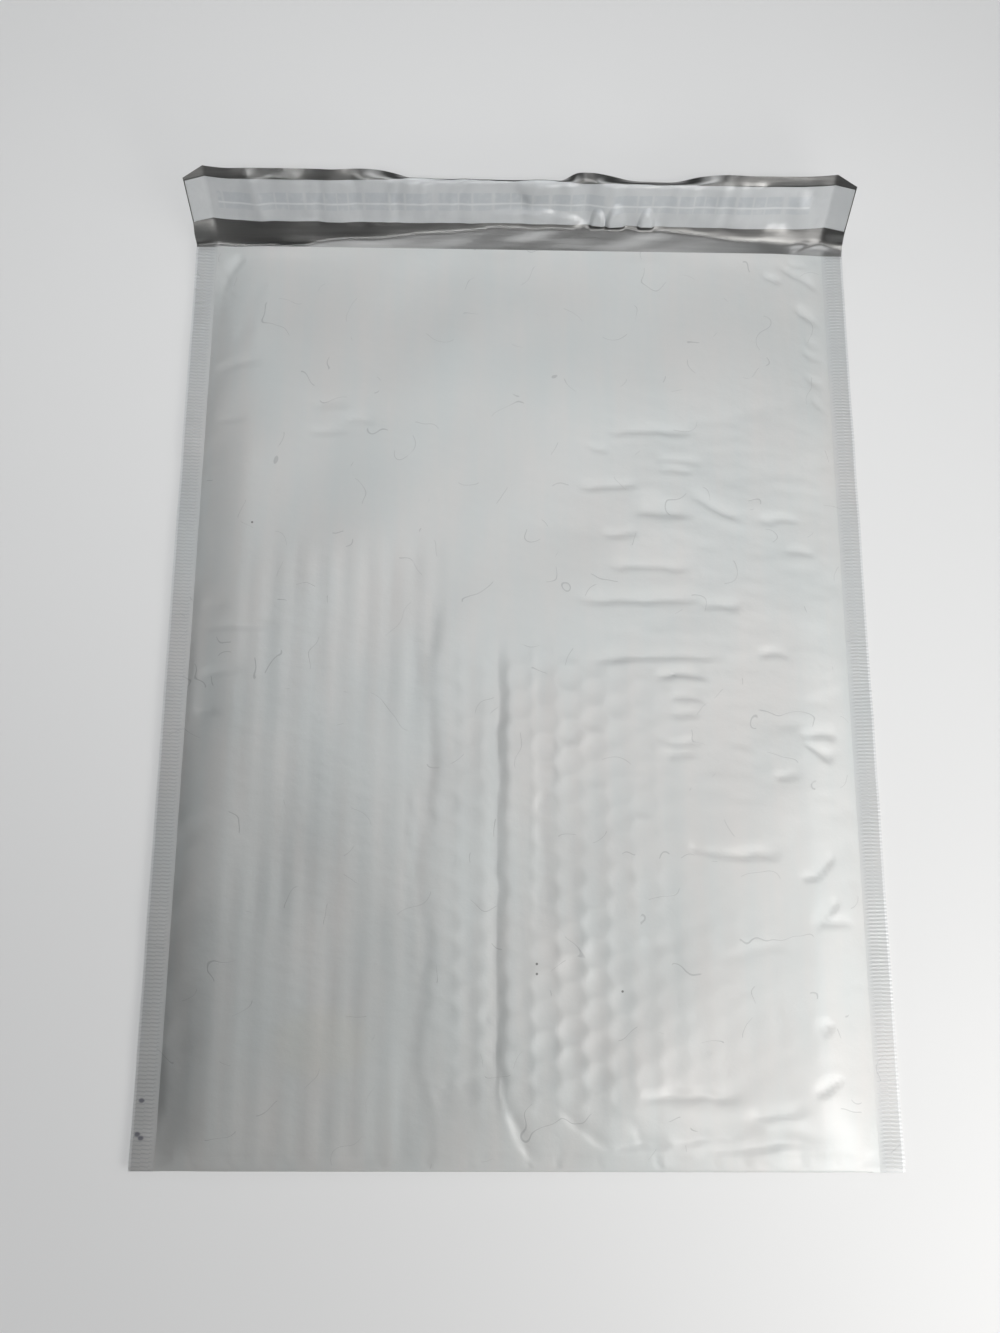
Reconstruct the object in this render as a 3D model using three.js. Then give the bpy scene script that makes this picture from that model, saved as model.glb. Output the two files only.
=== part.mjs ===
// Padded mailing envelope of white plastic film with a bubble lining, lying on its back panel.
// One sheet of film is folded at the bottom: it makes the front panel, the back panel and the flap.
// Frame: x across the pouch, y from the bottom fold to the mouth, z up. Millimetres.
// Origin: middle of the back panel, on the plane that the envelope lies on.
import * as THREE from 'three';

// Sheet sizes
const pouchWidth = 300;
const pouchLength = 396;
const flapLength = 37;
const filmWall = 0.08;
const sealWidth = 9.6;

// Thickness of the padded pouch, over its films
const fullThickness = 8;
const lipThickness = 3.4;
const foldThickness = 3.2;
const sideShoulder = 24;
const foldShoulder = 30;
const lipTaper = 75;
const foldNose = 1.4;

// How far the seals, the fold and the mouth float above the plane below
const sealLift = 1.8;
const foldLift = 0.6;
const mouthLift = 0.5;
const undersideShoulder = 18;
const foldUnderside = 15;
const mouthUnderside = 22;

// Unevenness of the padding
const swellHeight = 0.4;
const swellAcross = 136;
const swellAlong = 164;

// Bubbles that print through the front film, in a staggered lattice of upright columns
const bubblePitch = 11.7;
const bubbleColumn = (bubblePitch * Math.sqrt(3)) / 2;
const bubbleRise = 0.55;
const latticeX = 0.4;
const latticeY = -75.1;
const reliefLeft = -35;
const reliefRight = 61;
const reliefBottom = -164;
const reliefTop = 13;
const reliefFade = 18;

// Bubble lining
const leafThickness = 2.9;
const pocketGap = 0.5;
const liningSideInset = 3;
const liningSideWall = 2;
const liningFoldInset = 3.4;
const liningFoldWall = 1.6;
const liningNose = 1;
const liningLipInset = 6;
const fitGap = 0.4;

// Flap: its lean from the plane below, before and after the crease, at its ends and in its middle
const creaseEnds = 3.2;
const creaseMiddle = 12.6;
const creaseBend = 4;
const leanBeforeEnds = 8;
const leanBeforeMiddle = 31;
const leanAfterEnds = 42;
const leanAfterMiddle = 58;
const leanStrip = 62;
const leanSway = 2.5;
const swayLength = 170;
const stripBend = 5;
const endBend = 30;
const endBendRun = 12;
const cornerCut = 3.2;

// Closing strip on the flap
const stripMargin = 4.4;
const linerWidth = 19;
const linerWall = 0.1;
const adhesiveWidth = 15;
const adhesiveWall = 0.15;
const stripEndInset = 0.4;

// Spacing of the construction lines
const coarseStep = 22;
const adhesiveLines = 3;
const foldSteps = 4;
const sectionStep = 0.25;
const slopeStep = 0.05;
const weldStep = 1e-5;

const halfWidth = pouchWidth / 2;
const innerHalf = halfWidth - sealWidth;
const foldY = -pouchLength / 2;
const lipY = pouchLength / 2;
const stripEnd = flapLength - stripMargin;
const stripStart = stripEnd - linerWidth;
const adhesiveFrom = stripStart + (linerWidth - adhesiveWidth) / 2;
const adhesiveTo = adhesiveFrom + adhesiveWidth;
const degree = Math.PI / 180;

const clamp = (value) => Math.min(Math.max(value, 0), 1);
const blend = (from, to, share) => from + (to - from) * share;

function smooth(value) {
  const share = clamp(value);
  return share * share * (3 - 2 * share);
}

// Rounded rise from 0 at the edge to 1 at the given reach
function shoulder(distance, reach) {
  const share = clamp(distance / reach);
  return share * (2 - share);
}

// Heights of the pouch's outer faces over the plane below

function sideRise(x) {
  return shoulder(innerHalf - Math.abs(x), sideShoulder);
}

function thickness(y) {
  const fromFold = blend(foldThickness, fullThickness, shoulder(y - foldY, foldShoulder));
  const fromLip = blend(lipThickness, fullThickness, smooth((lipY - y) / lipTaper));
  return Math.min(fromFold, fromLip);
}

function underside(x, y) {
  const side = 1 - clamp((innerHalf - Math.abs(x)) / undersideShoulder);
  const fold = 1 - clamp((y - foldY) / foldUnderside);
  const mouth = 1 - clamp((lipY - y) / mouthUnderside);
  return sealLift * side * side + foldLift * fold * fold + mouthLift * mouth * mouth;
}

function swell(x, y) {
  const inside = sideRise(x) * shoulder(y - foldY, foldShoulder) * smooth((lipY - y) / lipTaper);
  const across = Math.sin((2 * Math.PI * x) / swellAcross + 1);
  const along = Math.sin((2 * Math.PI * y) / swellAlong + 2);
  return swellHeight * inside * across * along;
}

function topside(x, y) {
  const padding = (thickness(y) - 2 * filmWall) * sideRise(x);
  return underside(x, y) + 2 * filmWall + padding + swell(x, y);
}

// Dome of the nearest bubble: 1 at its middle, 0 at the edge of its cell
function bubbleDome(x, y) {
  const column = Math.round((x - latticeX) / bubbleColumn);
  const stagger = column % 2 === 0 ? 0 : bubblePitch / 2;
  const row = Math.round((y - latticeY - stagger) / bubblePitch);
  const offX = x - latticeX - column * bubbleColumn;
  const offY = y - latticeY - stagger - row * bubblePitch;
  return 1 - smooth((2 * Math.hypot(offX, offY)) / bubblePitch);
}

function bubbleRelief(x, y) {
  const across = smooth((x - reliefLeft) / reliefFade) * smooth((reliefRight - x) / reliefFade);
  const along = smooth((y - reliefBottom) / reliefFade) * smooth((reliefTop - y) / reliefFade);
  return bubbleRise * across * along * bubbleDome(x, y);
}

// Flap section: lean of the film at a distance along the sheet from the lip's line, in radians
function flapLean(x, distance) {
  const middle = Math.cos((Math.PI * x) / pouchWidth) ** 2;
  const crease = blend(creaseEnds, creaseMiddle, middle);
  const before = blend(leanBeforeEnds, leanBeforeMiddle, middle);
  const after = blend(leanAfterEnds, leanAfterMiddle, middle);
  const top = leanStrip + leanSway * Math.sin((2 * Math.PI * x) / swayLength);
  const creased = smooth((distance - crease) / creaseBend + 0.5);
  const stiffened = smooth((distance - stripStart) / stripBend + 0.5);
  return blend(blend(before, after, creased), top, stiffened) * degree;
}

// Back face of the flap film inside its end bends, found by adding up short steps along the sheet
function flapSection(x, distance) {
  const steps = Math.max(1, Math.round(distance / sectionStep));
  const step = distance / steps;
  let y = lipY;
  let z = underside(x, lipY);
  for (let index = 0; index < steps; index += 1) {
    const lean = flapLean(x, (index + 0.5) * step);
    y += step * Math.cos(lean);
    z += step * Math.sin(lean);
  }
  return [y, z];
}

// The flap's margin past the strip narrows towards its two cut corners
function trimmed(x, distance) {
  if (distance <= stripEnd) {
    return distance;
  }
  const corner = clamp((Math.abs(x) - innerHalf) / sealWidth);
  const margin = flapLength - stripEnd;
  return stripEnd + (distance - stripEnd) * (1 - (corner * cornerCut) / margin);
}

function flapPoint(x, distance) {
  const reach = trimmed(x, distance);
  const past = Math.max(Math.abs(x) - innerHalf, 0);
  const rootX = Math.sign(x) * Math.min(Math.abs(x), innerHalf);
  const [y, z] = flapSection(rootX, reach);
  const bend = endBend * degree * smooth(reach / endBendRun);
  const lean = flapLean(rootX, reach);
  const forward = past * Math.sin(bend);
  return new THREE.Vector3(
    rootX + Math.sign(x) * past * Math.cos(bend),
    y - forward * Math.sin(lean),
    z + forward * Math.cos(lean),
  );
}

function flapNormal(x, distance) {
  if (distance === 0) {
    return new THREE.Vector3(0, 0, 1);
  }
  const left = Math.max(x - slopeStep, -halfWidth);
  const right = Math.min(x + slopeStep, halfWidth);
  const low = Math.max(distance - slopeStep, 0);
  const high = Math.min(distance + slopeStep, flapLength);
  const across = flapPoint(right, distance).sub(flapPoint(left, distance));
  const along = flapPoint(x, high).sub(flapPoint(x, low));
  return across.cross(along).normalize();
}

// A point at a height over the back face of the flap film
function overFlap(x, distance, height) {
  const point = flapPoint(x, distance).addScaledVector(flapNormal(x, distance), height);
  return point.toArray();
}

// Construction lines

function spread(from, to, step) {
  const count = Math.max(1, Math.round((to - from) / step));
  return Array.from({ length: count + 1 }, (_, index) => blend(from, to, index / count));
}

function latticeLines(from, to, step, origin) {
  const lines = [];
  for (let index = Math.ceil((from - origin) / step); origin + index * step <= to; index += 1) {
    lines.push(origin + index * step);
  }
  return lines;
}

// Lines in rising order, with those that crowd the one before them left out
function ordered(lines, least = 1) {
  const kept = [];
  for (const line of [...lines].sort((first, second) => first - second)) {
    if (kept.length === 0 || line - kept[kept.length - 1] > least) {
      kept.push(line);
    }
  }
  return kept;
}

const mirrored = (lines) => [...lines.map((line) => -line), ...lines];
const within = (lines, from, to) => lines.filter((line) => line > from && line < to);

// Lines on both sides of the relief's patch, and the patch's own lattice lines between them
function aroundPatch(from, to, patch) {
  const before = spread(from, patch[0], coarseStep).slice(0, -1);
  const after = spread(patch[patch.length - 1], to, coarseStep).slice(1);
  return [...before, ...patch, ...after];
}

const shoulderEnd = innerHalf - sideShoulder;
const shoulderLines = [0.3, 0.6, 1].map((share) => innerHalf - share * sideShoulder);
const foldLines = [0.35, 0.65, 1].map((share) => foldY + share * foldShoulder);
const liningFold = foldY + liningFoldInset;
const liningLip = lipY - liningLipInset;
const lipLines = spread(lipY - mouthUnderside, liningLip, mouthUnderside / 3);
const reliefAcross = latticeLines(reliefLeft, reliefRight, bubbleColumn / 2, latticeX);
const reliefAlong = latticeLines(reliefBottom, reliefTop, bubblePitch / 2, latticeY);
const frontInner = ordered([
  ...mirrored([innerHalf, ...shoulderLines]),
  ...aroundPatch(-shoulderEnd, shoulderEnd, reliefAcross),
]);
const frontAcross = [-halfWidth, ...frontInner, halfWidth];
const frontAlong = ordered([
  foldY,
  liningFold,
  ...foldLines,
  ...aroundPatch(foldY + foldShoulder, lipY - mouthUnderside, reliefAlong),
  ...lipLines,
  lipY,
]);

const undersideLines = [1 / 3, 2 / 3, 1].map((share) => innerHalf - share * undersideShoulder);
const backAcross = ordered(mirrored(undersideLines));
const backAlong = ordered([
  ...[1 / 3, 2 / 3, 1].map((share) => foldY + share * foldUnderside),
  ...[1 / 3, 2 / 3, 1].map((share) => lipY - share * mouthUnderside),
]);

const undersideEnd = innerHalf - undersideShoulder;
const flapInner = ordered([
  ...mirrored([innerHalf, ...undersideLines]),
  ...spread(-undersideEnd, undersideEnd, coarseStep),
]);
const flapAcross = [-halfWidth, ...flapInner, halfWidth];
const adhesiveAlong = spread(adhesiveFrom, adhesiveTo, adhesiveWidth / adhesiveLines);
const linerAlong = [stripStart, ...adhesiveAlong, stripEnd];
const baseAlong = spread(creaseEnds, stripStart, creaseBend).slice(0, -1);
const flapAlong = [0, ...baseAlong, ...linerAlong, flapLength];

// A closed body put together from patches, whose shared edge points are joined by their place
class Body {
  constructor() {
    this.points = [];
    this.faces = [];
    this.places = new Map();
  }

  vertex(point) {
    const key = point.map((value) => Math.round(value / weldStep)).join();
    if (!this.places.has(key)) {
      this.places.set(key, this.places.size);
      this.points.push(...point);
    }
    return this.places.get(key);
  }

  triangle(first, second, third, down) {
    const corners = [this.vertex(first), this.vertex(second), this.vertex(third)];
    if (new Set(corners).size === 3) {
      this.faces.push(...(down ? corners.reverse() : corners));
    }
  }

  // Rows of points: the faces look up where a row runs to the right and the rows follow upwards
  patch(rows, down = false) {
    for (let row = 1; row < rows.length; row += 1) {
      for (let column = 1; column < rows[row].length; column += 1) {
        const [a, b] = [rows[row - 1][column - 1], rows[row - 1][column]];
        const [d, c] = [rows[row][column - 1], rows[row][column]];
        if (b[2] + d[2] > a[2] + c[2] + filmWall / 4) {
          this.triangle(a, b, d, down);
          this.triangle(b, c, d, down);
        } else {
          this.triangle(a, b, c, down);
          this.triangle(a, c, d, down);
        }
      }
    }
  }

  // Strip between two chains that run the same way, the first on the left: each step goes to the
  // chain whose next point comes first along the given axis
  zip(left, right, axis, down = false) {
    let [i, j] = [0, 0];
    while (i < left.length - 1 || j < right.length - 1) {
      const leftNext = i < left.length - 1 ? left[i + 1][axis] : Infinity;
      const rightNext = j < right.length - 1 ? right[j + 1][axis] : Infinity;
      if (leftNext <= rightNext) {
        this.triangle(left[i], right[j], left[i + 1], down);
        i += 1;
      } else {
        this.triangle(left[i], right[j], right[j + 1], down);
        j += 1;
      }
    }
  }

  fan(points, down = false) {
    for (let index = 2; index < points.length; index += 1) {
      this.triangle(points[0], points[index - 1], points[index], down);
    }
  }

  geometry() {
    const geometry = new THREE.BufferGeometry();
    geometry.setAttribute('position', new THREE.Float32BufferAttribute(this.points, 3));
    geometry.setIndex(this.faces);
    geometry.computeVertexNormals();
    return geometry;
  }
}

const grid = (across, along, point) => along.map((y) => across.map((x) => point(x, y)));
const columnOf = (rows, index) => rows.map((row) => row.at(index));

// Section of a rounded fold: an upright half ellipse from the upper film to the lower one
function foldRows(across, centre, depth, half) {
  return Array.from({ length: foldSteps + 1 }, (_, index) => {
    const turn = (Math.PI * index) / foldSteps;
    return across.map((x) => {
      const [y, z] = centre(x);
      return [x, y - depth(x) * Math.sin(turn), z + half(x) * Math.cos(turn)];
    });
  });
}

// Outer film

const foldHalf = (x) => (topside(x, foldY) - underside(x, foldY)) / 2;
const foldMiddle = (x) => (topside(x, foldY) + underside(x, foldY)) / 2;
const foldDepth = (x) => (foldNose * 2 * foldHalf(x)) / foldThickness;

// The first row of a panel stands back from the fold's outermost line by the fold's own depth
const panelY = (x, y) => (y === foldY ? foldY + foldDepth(x) : y);

function filmPoint(x, y, height) {
  return [x, panelY(x, y), height];
}

function outerFilm() {
  const body = new Body();
  const front = (drop) => (x, y) => filmPoint(x, y, topside(x, y) + bubbleRelief(x, y) - drop);
  const back = (lift) => (x, y) => filmPoint(x, y, underside(x, y) + lift);

  body.patch(grid(frontAcross, frontAlong, front(0)));
  body.patch(grid(frontInner, frontAlong, front(filmWall)), true);

  // Back panel: a ring from the fine lines of the seals to the few lines of the flat middle
  for (const [lift, down] of [[0, true], [filmWall, false]]) {
    const middle = grid(backAcross, backAlong, back(lift));
    body.patch(middle, down);
    const edge = (x) => frontAlong.map((y) => back(lift)(x, y));
    body.zip(edge(-innerHalf), columnOf(middle, 0), 1, down);
    body.zip(columnOf(middle, -1), edge(innerHalf), 1, down);
    body.zip(middle[0], frontInner.map((x) => back(lift)(x, foldY)), 0, down);
    body.zip(flapInner.map((x) => back(lift)(x, lipY)), middle.at(-1), 0, down);
  }
  for (const seal of [[-halfWidth, -innerHalf], [innerHalf, halfWidth]]) {
    body.patch(grid(seal, frontAlong, back(0)), true);
  }

  // Bottom fold, outside and inside
  const foldCentre = (x) => [foldY + foldDepth(x), foldMiddle(x)];
  const outside = foldRows(frontAcross, foldCentre, foldDepth, foldHalf);
  const innerDepth = (x) => Math.max(foldDepth(x) - filmWall, 0);
  const innerReach = (x) => Math.max(foldHalf(x) - filmWall, 0);
  body.patch(outside, true);
  body.patch(foldRows(frontInner, foldCentre, innerDepth, innerReach));

  // Cut edges of the side seals, and the fold's two ends
  for (const side of [-1, 1]) {
    const x = side * halfWidth;
    const down = side < 0;
    const upper = frontAlong.map((y) => front(0)(x, y));
    const lower = frontAlong.map((y) => back(0)(x, y));
    const last = frontAlong.length - 1;
    body.patch([lower.slice(0, last), upper.slice(0, last)], down);
    const between = back(filmWall)(x, lipY);
    body.fan([upper[last - 1], lower[last - 1], lower[last], between, upper[last]], down);
    body.fan(outside.map((row) => row.at(side < 0 ? 0 : -1)), down);
  }

  // Lip of the front panel: over the seals it stands on the flap's film
  const lip = frontAcross.map((x) => front(0)(x, lipY));
  const sealLip = (x) => back(filmWall)(x, lipY);
  const sealLeft = [-halfWidth, -innerHalf].map(sealLip);
  const sealRight = [innerHalf, halfWidth].map(sealLip);
  const lipInner = frontInner.slice(1, -1).map((x) => front(filmWall)(x, lipY));
  body.patch([lip, [...sealLeft, ...lipInner, ...sealRight]]);

  // Flap
  const flap = (height) => grid(flapAcross, flapAlong, (x, t) => overFlap(x, t, height));
  const [flapBack, flapFace] = [flap(0), flap(filmWall)];
  body.patch(flapBack, true);
  body.patch(flapFace);
  body.patch([columnOf(flapFace, 0), columnOf(flapBack, 0)]);
  body.patch([columnOf(flapFace, -1), columnOf(flapBack, -1)], true);
  body.patch([flapFace.at(-1), flapBack.at(-1)]);
  return body.geometry();
}

// Bubble lining: a web folded at the bottom and joined at its sides, open at the mouth

const liningTop = (x, y) => topside(x, y) - filmWall - fitGap;
const liningUnder = (x, y) => underside(x, y) + filmWall + fitGap;

function bubbleLining() {
  const body = new Body();
  const side = innerHalf - liningSideInset;
  const coarse = spread(-shoulderEnd, shoulderEnd, coarseStep);
  const outerAcross = ordered([...mirrored([side, ...shoulderLines]), ...coarse]);
  const innerSide = side - liningSideWall;
  const pocketAcross = [-innerSide, ...outerAcross.slice(1, -1), innerSide];
  const runs = spread(foldY + foldShoulder, lipY - mouthUnderside, 1.5 * coarseStep);
  const outerAlong = ordered([liningFold, ...foldLines, ...runs, ...lipLines]);
  const pocketAlong = [liningFold + liningFoldWall, ...outerAlong.slice(1)];

  const top = grid(outerAcross, outerAlong, (x, y) => [x, y, liningTop(x, y)]);
  const under = grid(outerAcross, outerAlong, (x, y) => [x, y, liningUnder(x, y)]);
  body.patch(top);
  body.patch(under, true);

  // Pocket between the leaves
  const pocketHalf = (x, y) => {
    const room = liningTop(x, y) - liningUnder(x, y);
    return Math.max(pocketGap, room - 2 * leafThickness) / 2;
  };
  const pocketMiddle = (x, y) => (liningTop(x, y) + liningUnder(x, y)) / 2;
  const pocket = (sign) => (x, y) => [x, y, pocketMiddle(x, y) + sign * pocketHalf(x, y)];
  const ceiling = grid(pocketAcross, pocketAlong, pocket(1));
  const floor = grid(pocketAcross, pocketAlong, pocket(-1));
  body.patch(ceiling, true);
  body.patch(floor);
  body.patch([floor[0], ceiling[0]], true);
  body.patch([columnOf(floor, 0), columnOf(ceiling, 0)]);
  body.patch([columnOf(floor, -1), columnOf(ceiling, -1)], true);

  // Sides, rounded fold and rim at the mouth
  body.patch([columnOf(under, 0), columnOf(top, 0)], true);
  body.patch([columnOf(under, -1), columnOf(top, -1)]);
  const half = (x) => (liningTop(x, liningFold) - liningUnder(x, liningFold)) / 2;
  const centre = (x) => [liningFold, pocketMiddle(x, liningFold)];
  const nose = foldRows(outerAcross, centre, () => liningNose, half);
  body.patch(nose, true);
  body.fan(columnOf(nose, 0), true);
  body.fan(columnOf(nose, -1));
  const rimOuter = [under.at(-1)[0], ...top.at(-1), under.at(-1).at(-1)];
  const rimInner = [floor.at(-1)[0], ...ceiling.at(-1), floor.at(-1).at(-1)];
  body.patch([rimInner, rimOuter], true);
  body.patch([under.at(-1), floor.at(-1)], true);
  return body.geometry();
}

// A flat strip that follows the flap at a height over its film
function stripOnFlap(from, to, bottom, wall) {
  const body = new Body();
  const end = halfWidth - stripEndInset;
  const across = [-end, ...flapInner, end];
  const along = [from, ...within(linerAlong, from, to), to];
  const [low, high] = [bottom, bottom + wall].map(
    (height) => grid(across, along, (x, t) => overFlap(x, t, height)),
  );
  body.patch(high);
  body.patch(low, true);
  body.patch([high.at(-1), low.at(-1)]);
  body.patch([low[0], high[0]]);
  body.patch([columnOf(high, 0), columnOf(low, 0)]);
  body.patch([columnOf(high, -1), columnOf(low, -1)], true);
  return body.geometry();
}

const adhesiveHeight = filmWall + fitGap;
const linerHeight = adhesiveHeight + adhesiveWall + fitGap;

const finishes = {
  whiteFilm: new THREE.MeshStandardMaterial({ color: 0xc9cdcf, roughness: 0.38, metalness: 0 }),
  clearLining: new THREE.MeshStandardMaterial({ color: 0xd5dadc, roughness: 0.22, metalness: 0 }),
  tackyGlue: new THREE.MeshStandardMaterial({ color: 0xb9b8a8, roughness: 0.55, metalness: 0 }),
  linerFilm: new THREE.MeshStandardMaterial({ color: 0xb4babf, roughness: 0.3, metalness: 0 }),
};

function named(name, geometry, material) {
  const mesh = new THREE.Mesh(geometry, material);
  mesh.name = name;
  return mesh;
}

const envelope = new THREE.Group();
envelope.name = 'padded_envelope';
envelope.add(
  named('outer_film', outerFilm(), finishes.whiteFilm),
  named('bubble_lining', bubbleLining(), finishes.clearLining),
  named(
    'adhesive_strip',
    stripOnFlap(adhesiveFrom, adhesiveTo, adhesiveHeight, adhesiveWall),
    finishes.tackyGlue,
  ),
  named(
    'release_liner',
    stripOnFlap(stripStart, stripStart + linerWidth, linerHeight, linerWall),
    finishes.linerFilm,
  ),
);

export default envelope;
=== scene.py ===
"""Padded film envelope lying on its back panel with its flap open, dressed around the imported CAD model.

Shapes are worked out in millimetres in the CAD frame: x across the pouch, y from the bottom fold to the
mouth, z up through the front panel. They turn into metres where their mesh is made.
"""

import math

import bpy
import numpy as np
from mathutils import Matrix, Vector


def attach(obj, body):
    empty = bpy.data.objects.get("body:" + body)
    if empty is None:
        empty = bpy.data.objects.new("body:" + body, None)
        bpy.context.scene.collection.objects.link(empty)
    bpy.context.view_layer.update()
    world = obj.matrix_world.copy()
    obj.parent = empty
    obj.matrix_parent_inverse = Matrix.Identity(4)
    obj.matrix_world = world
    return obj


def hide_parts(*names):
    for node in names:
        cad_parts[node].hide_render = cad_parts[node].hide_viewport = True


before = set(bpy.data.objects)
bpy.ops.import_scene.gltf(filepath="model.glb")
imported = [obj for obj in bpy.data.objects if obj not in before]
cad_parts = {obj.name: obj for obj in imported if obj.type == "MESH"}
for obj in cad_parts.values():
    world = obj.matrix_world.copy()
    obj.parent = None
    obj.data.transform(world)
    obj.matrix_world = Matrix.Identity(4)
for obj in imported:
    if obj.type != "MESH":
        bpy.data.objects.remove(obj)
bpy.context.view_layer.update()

# Sizes of the solids, which the dressed pieces follow
POUCH_WIDTH = 300
POUCH_LENGTH = 396
FLAP_LENGTH = 37
FILM_WALL = 0.08
SEAL_WIDTH = 9.6
FULL_THICKNESS = 8
LIP_THICKNESS = 3.4
FOLD_THICKNESS = 3.2
SIDE_SHOULDER = 24
FOLD_SHOULDER = 30
LIP_TAPER = 75
FOLD_NOSE = 1.4
SEAL_LIFT = 1.8
FOLD_LIFT = 0.6
MOUTH_LIFT = 0.5
UNDERSIDE_SHOULDER = 18
FOLD_UNDERSIDE = 15
MOUTH_UNDERSIDE = 22
SWELL_HEIGHT = 0.4
SWELL_ACROSS = 136
SWELL_ALONG = 164
BUBBLE_PITCH = 11.7
BUBBLE_COLUMN = BUBBLE_PITCH * math.sqrt(3) / 2
LATTICE_X = 0.4
LATTICE_Y = -75.1
POCKET_GAP = 0.5
LINING_SIDE_INSET = 3
LINING_FOLD_INSET = 3.4
LINING_LIP_INSET = 6
FIT_GAP = 0.4
SWAY_LENGTH = 170
STRIP_BEND = 5
END_BEND_RUN = 12
CORNER_CUT = 3.2
STRIP_MARGIN = 4.4
LINER_WIDTH = 19
LINER_WALL = 0.1
ADHESIVE_WIDTH = 15
ADHESIVE_WALL = 0.15
STRIP_END_INSET = 0.4

# Angles of the flap in degrees: three of the four leans beside its crease differ from the solids'
END_BEND = 30
LEAN_BEFORE_ENDS = 8
LEAN_BEFORE_MIDDLE = 25
LEAN_AFTER_ENDS = 54
LEAN_AFTER_MIDDLE = 60
LEAN_STRIP = 62
LEAN_SWAY = 2.5

# Places worked out from the sizes
HALF_WIDTH = POUCH_WIDTH / 2
INNER_HALF = HALF_WIDTH - SEAL_WIDTH
FOLD_Y = -POUCH_LENGTH / 2
LIP_Y = POUCH_LENGTH / 2
STRIP_END = FLAP_LENGTH - STRIP_MARGIN
STRIP_START = STRIP_END - LINER_WIDTH

# Sizes, angles and strengths that only the dressed pieces and the floor have
CRIMP_PITCH = 1.5
CRIMP_HEIGHT = 0.1
ROWS_PER_CRIMP = 4
SEAL_GAP = 0.02
SEAL_WALL = FILM_WALL - 0.01
CREASE_RUN = 4.6
MARGIN_DROOP = 120
PANEL_RELIEF = 1.15
CREASE_PRESS = 1.7
WEB_VALLEY = 0.55
SECTION_STEP = 0.25
GLUE_GAP = 0.1
LINER_GAP = 0.17
ARCHES_START = 30
ARCHES_END = 64
SHARP_ANGLE = 55
FLOOR_REACH = 1600
FLOOR_LEVEL = -0.15


def clamp(value):
    return np.clip(value, 0, 1)


def smooth(value):
    """Eased rise from 0 to 1: three squares less two cubes of the share."""
    share = clamp(value)
    return share * share * (3 - 2 * share)


def shoulder(distance, reach):
    """Rounded rise from 0 at the edge to 1 at the reach: the share times two less the share."""
    share = clamp(distance / reach)
    return share * (2 - share)


def blend(low, high, share):
    return low + (high - low) * share


def bell(value):
    """Hump of height 1: e to the power of minus the square."""
    return np.exp(-value * value)


def ramp(value, round_off=0.5):
    """0 below 0 and the value above it, rounded: half of the value plus a root over it and the rounding."""
    return (value + np.sqrt(value * value + round_off * round_off)) / 2


def window(value, low, high, fade):
    """1 between the two limits, eased to 0 over the fade outside them."""
    return smooth((value - low) / fade + 1) * smooth((high - value) / fade + 1)


def eased_line(x, points, reach):
    """Line through points with its corners rounded: weighted mean of the straight line over the reach."""
    places, values = points.T
    offsets = np.linspace(-1, 1, 13)
    weights = bell(1.7 * offsets)
    shifted = [np.interp(x + offset * reach, places, values) for offset in offsets]
    return sum(weight * line for weight, line in zip(weights, shifted)) / weights.sum()


def rumple(x, y, reach, seed):
    """Soft random height from -1 to 1: seeded values on a square lattice, eased between neighbours."""
    cells = 96
    table = np.random.default_rng(seed).uniform(-1, 1, (cells, cells))
    column, row = np.floor(x / reach), np.floor(y / reach)
    across, along = smooth(x / reach - column), smooth(y / reach - row)
    here, right = column.astype(int) % cells, (column.astype(int) + 1) % cells
    low, high = row.astype(int) % cells, (row.astype(int) + 1) % cells
    near = blend(table[here, low], table[right, low], across)
    far = blend(table[here, high], table[right, high], across)
    return blend(near, far, along)


def ripple(x, y, reach, seed):
    """Soft random height: sum of sine waves with random directions, phases and lengths about the reach."""
    random = np.random.default_rng(seed)
    height = 0 * x + 0 * y
    for _ in range(9):
        turn = random.uniform(0, np.pi)
        length = reach * random.uniform(1.5, 4)
        phase = random.uniform(0, 2 * np.pi)
        height = height + np.sin(2 * np.pi * (x * np.cos(turn) + y * np.sin(turn)) / length + phase)
    return height / 3.5


# Heights of the pouch's faces, as in the solids


def side_rise(x):
    return shoulder(INNER_HALF - np.abs(x), SIDE_SHOULDER)


def thickness(y):
    """Thickness of the padding: rises from the fold and falls off towards the lip."""
    from_fold = blend(FOLD_THICKNESS, FULL_THICKNESS, shoulder(y - FOLD_Y, FOLD_SHOULDER))
    from_lip = blend(LIP_THICKNESS, FULL_THICKNESS, smooth((LIP_Y - y) / LIP_TAPER))
    return np.minimum(from_fold, from_lip)


def underside(x, y):
    """Back face: squares of the shares by which a point is near a seal, the fold or the mouth."""
    side = 1 - clamp((INNER_HALF - np.abs(x)) / UNDERSIDE_SHOULDER)
    fold = 1 - clamp((y - FOLD_Y) / FOLD_UNDERSIDE)
    mouth = 1 - clamp((LIP_Y - y) / MOUTH_UNDERSIDE)
    return SEAL_LIFT * side * side + FOLD_LIFT * fold * fold + MOUTH_LIFT * mouth * mouth


def swell(x, y):
    """Broad unevenness of the padding: a sine across times a sine along."""
    inside = side_rise(x) * shoulder(y - FOLD_Y, FOLD_SHOULDER) * smooth((LIP_Y - y) / LIP_TAPER)
    across = np.sin(2 * np.pi * x / SWELL_ACROSS + 1)
    along = np.sin(2 * np.pi * y / SWELL_ALONG + 2)
    return SWELL_HEIGHT * inside * across * along


def topside(x, y):
    padding = (thickness(y) - 2 * FILM_WALL) * side_rise(x)
    return underside(x, y) + 2 * FILM_WALL + padding + swell(x, y)


# Relief of the film over the bubbles


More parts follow.
